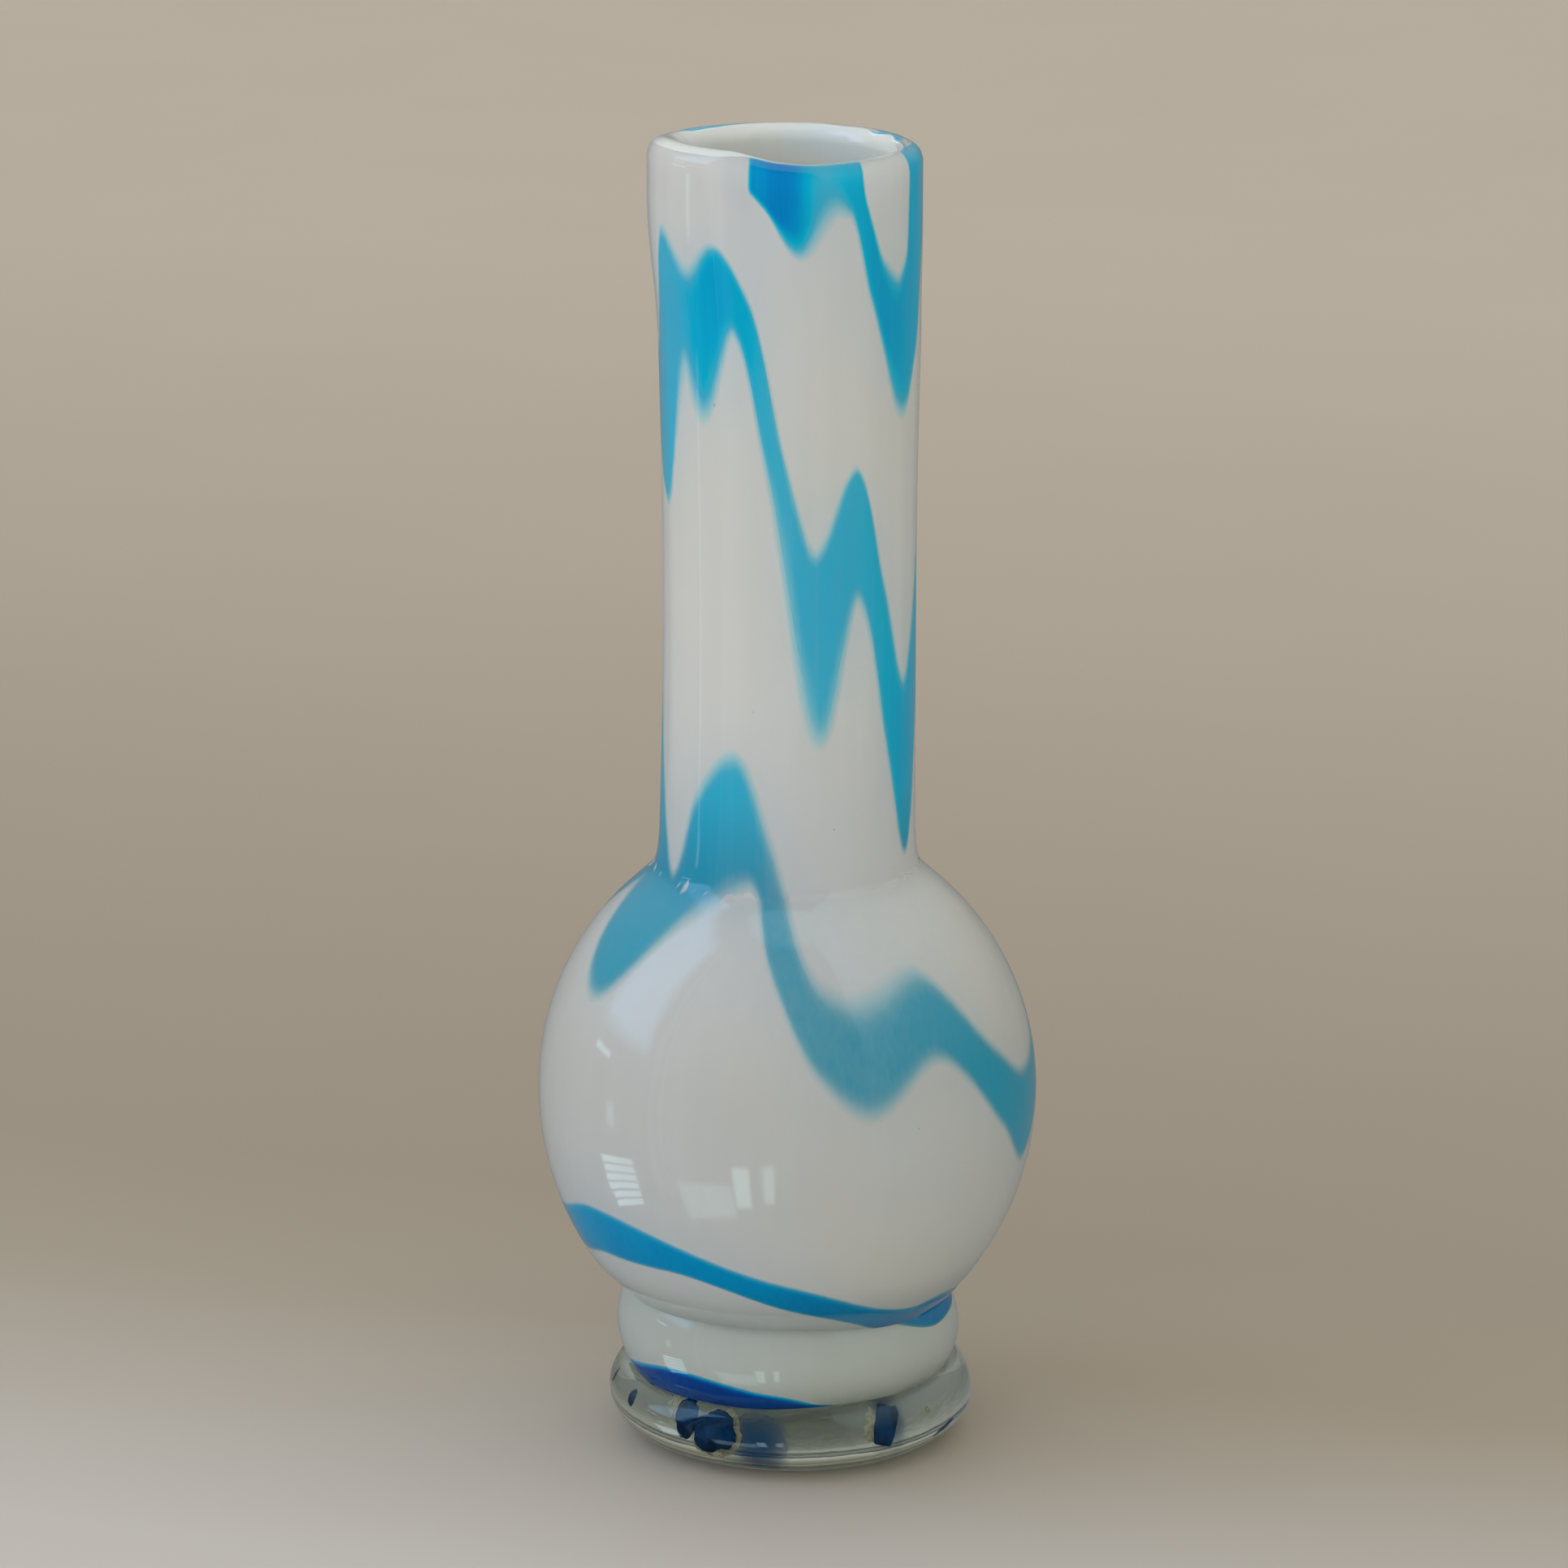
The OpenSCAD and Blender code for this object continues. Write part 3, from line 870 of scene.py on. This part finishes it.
# Bruises in the clear glass beside and behind the chips
BRUISES = [
    (-26.2, 29.3, 7.4, (5.1, 0.5, 2.9), -8),
    (-46, 28.8, 8.8, (2.8, 0.4, 1.5), 20),
    (30.6, 28.8, 8.2, (1.7, 0.4, 2.1), 14),
    (54, 31.0, 9.0, (0.7, 0.4, 0.6), 0),
]
# Painted blue glow beside the largest chip and the plate
GLOW_PATCHES = [
    (-12, 28.5, 6.2, (7.4, 0.4, 5.0), 0),
    (38, 28.0, 8.0, (4.6, 0.4, 3.6), 10),
]


def chip_place(azimuth, distance, z, turn):
    base = Vector(warp(azimuth, distance, z))
    return Matrix.Translation(base) @ Matrix.Rotation(math.radians(azimuth), 4, "Z") @ Matrix.Rotation(
        math.radians(turn), 4, "Y"
    )


def lump(into, place, half, seed):
    """A flat pebble of glass with an uneven edge."""
    layer = into.verts.layers.float.get("glow_fade") or into.verts.layers.float.new("glow_fade")
    made = bmesh.ops.create_icosphere(into, subdivisions=4, radius=1.0)
    for vertex in made["verts"]:
        p = vertex.co
        vertex[layer] = 1 - math.hypot(p.x, p.z)
        broad = noise.noise(p * 1.5 + Vector((seed, 0, 0)))
        fine = noise.noise(p * 4.2 + Vector((0, seed, 0)))
        size = 1 + 0.3 * broad + 0.12 * fine
        vertex.co = place @ (Vector((p.x * half[0], p.y * half[1], p.z * half[2])) * size * MM)


def plate(into, place, half, seed):
    """A broken plate of glass: a soft edged slab with wavy faces."""
    made = bmesh.ops.create_icosphere(into, subdivisions=4, radius=1.0)
    for vertex in made["verts"]:
        p = vertex.co
        x, y, z = (math.copysign(abs(c) ** 0.4, c) for c in p)
        size = 1 + 0.16 * noise.noise(p * 1.6 + Vector((0, seed, 0)))
        slanted = Vector(((x * 0.8 + z * 0.14) * half[0], y * half[1], z * half[2]))
        vertex.co = place @ (slanted * size * MM)


def lumps(name, shapes, material, plates=()):
    shape = bmesh.new()
    for i, (azimuth, distance, z, half, turn) in enumerate(shapes):
        lump(shape, chip_place(azimuth, distance, z, turn), half, 3 * i)
    for i, (azimuth, distance, z, half, turn) in enumerate(plates):
        plate(shape, chip_place(azimuth, distance, z, turn), half, 5 + i)
    mesh = bpy.data.meshes.new(name)
    shape.to_mesh(mesh)
    shape.free()
    mesh.materials.append(material)
    mesh.polygons.foreach_set("use_smooth", np.ones(len(mesh.polygons), bool))
    piece = bpy.data.objects.new(name, mesh)
    bpy.context.scene.collection.objects.link(piece)
    return piece


def replace(piece, node):
    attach(piece, "root")
    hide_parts(node)


replace(opal_liner(), "opal_liner")
replace(blue_strand(), "blue_trail")
replace(clear_casing(), "clear_casing")
replace(foot_disc(), "foot_disc")
replace(lumps("chips", LUMP_CHIPS, COBALT, PLATE_CHIPS), "cobalt_chips")
for extra in (lumps("bruises", BRUISES, BRUISE), lumps("painted_blue_glow", GLOW_PATCHES, GLOW_PAINT)):
    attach(extra, "root")


# ---------------------------------------------------------------- floor, light and camera

FLOOR_DROP_M = 0.0003
FLOOR_HALF_M = 6.0
# The floor's colour with painted light and shade, against the way from FLOOR_FRONT metres in front of the vase
# to the back, slanted to the right
FLOOR_COLOUR_AND_PAINTED_SHADE = [
    (0.0, (0.60, 0.55, 0.49)), (0.1, (0.545, 0.50, 0.45)), (0.18, (0.44, 0.39, 0.33)),
    (0.25, (0.365, 0.31, 0.235)), (0.33, (0.335, 0.28, 0.21)), (0.47, (0.35, 0.292, 0.222)),
    (0.62, (0.375, 0.315, 0.243)), (0.9, (0.43, 0.363, 0.283)), (1.4, (0.49, 0.415, 0.325)),
]
FLOOR_SPAN = 1.4
FLOOR_FRONT = 0.2
FLOOR_SLANT = 0.35


def floor():
    material, tree, shader = new_material("floor", Roughness=0.7, Specular_IOR_Level=0.2)
    place = add(tree, "ShaderNodeTexCoord")
    x, y, _ = add(tree, "ShaderNodeSeparateXYZ", {0: place.outputs["Object"]}).outputs
    along = plus(tree, plus(tree, y, times(tree, x, FLOOR_SLANT)), FLOOR_FRONT)
    # Painted light in front and to the left, and a painted shadow in a band just behind the vase
    tone_and_painted_light = ramp_of(tree, times(tree, along, 1 / FLOOR_SPAN), FLOOR_COLOUR_AND_PAINTED_SHADE, FLOOR_SPAN)
    cloud = even_shade(tree, spread(tree, grain(tree, (9, 9, 9), 4), 0.99, 1.01))
    colour_by(tree, shader, product(tree, tone_and_painted_light, cloud))
    h, z = FLOOR_HALF_M, -FLOOR_DROP_M
    made = finished("floor", [(-h, -h, z), (h, -h, z), (h, h, z), (-h, h, z)], [(0, 1, 2, 3)], [material])
    made.visible_glossy = False


# Soft light that falls on the scene: its colour from the left and right, and how much the zenith and front add
LIGHT_LEFT = (2.11, 2.19, 2.29, 1)
LIGHT_RIGHT = (1.37, 1.33, 1.17, 1)
LIGHT_ZENITH = 0.32
LIGHT_FRONT = 0.08
# What the polished glass mirrors: pale walls above and below, the nearest floor, and the open side of the room
WALL_LOW = (0.20, 0.20, 0.19, 1)
NEAR_FLOOR = (0.06, 0.06, 0.055, 1)
WALL_HIGH = (1.0, 0.99, 0.95, 1)
# Elevations over which the floor gives way to the walls, and the walls brighten
WALL_FOOT = (-60, -25)
WALL_BRIGHTENS = (0, 40)
ROOM_SEEN = (0.10, 0.095, 0.085, 1)
# The open side: azimuth and elevation from and to
OPEN_SIDE = (-100, 38, -38, 72)
# Panes and patches of light in it: azimuth and elevation from and to, softness of the edge, colour
PANES = [
    ((-104, -72, 14, 60), 3, (1.7, 2.1, 2.9, 1)),
    ((-103, -92, 5, 7), 0.6, (3.2, 3.3, 3.4, 1)),
    ((-66, -63, -30, 60), 1, (0.45, 0.45, 0.45, 1)),
    ((-60, -59, -34, 56), 0.5, (0.55, 0.55, 0.55, 1)),
    ((-56, -48, -30, 66), 3, (0.36, 0.36, 0.35, 1)),
    ((-90, -86, -14, -7), 1, (1.6, 1.6, 1.6, 1)),
    ((-54, -26, -41, -28), 1, (1.9, 1.8, 1.65, 1)),
    ((-25, -18, -37, -21), 1, (3.8, 3.6, 3.3, 1)),
    ((-11, -6, -35, -20), 1, (3.4, 3.1, 2.7, 1)),
]
# Slats of a blind, in the brightest patch: azimuth and elevation from and to, count and colour,
# and the share of each slat's room that it fills
BLIND = ((-98, -78), (-36, -22), 6, (3.4, 3.5, 3.6, 1))
SLAT_SHARE = 0.75


def direction(tree):
    """The way that a ray leaves the scene: its parts along x, -y and z, then its azimuth and elevation."""
    place = add(tree, "ShaderNodeTexCoord")
    parts = add(tree, "ShaderNodeSeparateXYZ", {0: place.outputs["Generated"]})
    x, y, z = parts.outputs
    front = times(tree, y, -1.0)
    azimuth = add(tree, "ShaderNodeMath", {0: x, 1: front}, operation="ARCTAN2").outputs[0]
    elevation = add(tree, "ShaderNodeMath", {0: z}, operation="ARCSINE").outputs[0]
    return x, front, z, times(tree, azimuth, math.degrees(1)), times(tree, elevation, math.degrees(1))


def between(tree, value, low, high, soft):
    up = spread(tree, value, 0, 1, low - soft, low + soft)
    down = spread(tree, value, 1, 0, high - soft, high + soft)
    return times(tree, up, down)


def light():
    world = bpy.data.worlds.new("soft light")
    bpy.context.scene.world = world
    world.use_nodes = True
    tree = world.node_tree
    x, front, z, azimuth, elevation = direction(tree)
    fall = mixed(tree, spread(tree, x, 0, 1, -1, 1), LIGHT_LEFT, LIGHT_RIGHT)
    level = plus(tree, spread(tree, z, 1, LIGHT_ZENITH, 0, 1), times(tree, front, LIGHT_FRONT))
    falling = product(tree, fall, even_shade(tree, level))

    az0, az1, el0, el1 = OPEN_SIDE
    opening = times(tree, between(tree, azimuth, az0, az1, 1), between(tree, elevation, el0, el1, 1.5))
    walls = mixed(tree, spread(tree, elevation, 0, 1, *WALL_FOOT), NEAR_FLOOR, WALL_LOW)
    walls = mixed(tree, spread(tree, elevation, 0, 1, *WALL_BRIGHTENS), walls, WALL_HIGH)
    seen = mixed(tree, opening, walls, ROOM_SEEN)
    for (az0, az1, el0, el1), soft, colour in PANES:
        pane = times(tree, between(tree, azimuth, az0, az1, soft), between(tree, elevation, el0, el1, soft))
        seen = mixed(tree, pane, seen, colour)
    (az0, az1), (el0, el1), slats, colour = BLIND
    for low in steps(el0, el1, slats)[:-1]:
        slat = between(tree, elevation, low, low + SLAT_SHARE * (el1 - el0) / slats, 0.3)
        seen = mixed(tree, times(tree, slat, between(tree, azimuth, az0, az1, 1)), seen, colour)
    bounced = add(tree, "ShaderNodeLightPath").outputs["Diffuse Depth"]
    lit = spread(tree, bounced, 0, 1, 0, 1)
    tree.links.new(mixed(tree, lit, seen, falling), tree.nodes["Background"].inputs["Color"])
    tree.nodes["Background"].inputs["Strength"].default_value = 1.0


# The camera: its distance, height and sideways offset, its pitch in degrees, and its lens
CAMERA_DISTANCE = 1302.5
CAMERA_HEIGHT = 481
CAMERA_PITCH = 15.074
CAMERA_LENS = 160.95
CAMERA_SIDE = -0.63
CAMERA_SENSOR = 36
CAMERA_SEES_M = 30


def camera():
    data = bpy.data.cameras.new("camera")
    data.lens = CAMERA_LENS
    data.sensor_width = CAMERA_SENSOR
    data.clip_end = CAMERA_SEES_M
    made = bpy.data.objects.new("camera", data)
    made.location = Vector((CAMERA_SIDE, -CAMERA_DISTANCE, CAMERA_HEIGHT)) * MM
    made.rotation_euler = (math.radians(90 - CAMERA_PITCH), 0, 0)
    bpy.context.scene.collection.objects.link(made)
    bpy.context.scene.camera = made


floor()
light()
camera()

scene = bpy.context.scene
scene.view_settings.view_transform = "Standard"
scene.cycles.use_denoising = True
scene.cycles.max_bounces = 24
scene.cycles.diffuse_bounces = 12
scene.cycles.glossy_bounces = 8
scene.cycles.transmission_bounces = 20
scene.cycles.transparent_max_bounces = 16
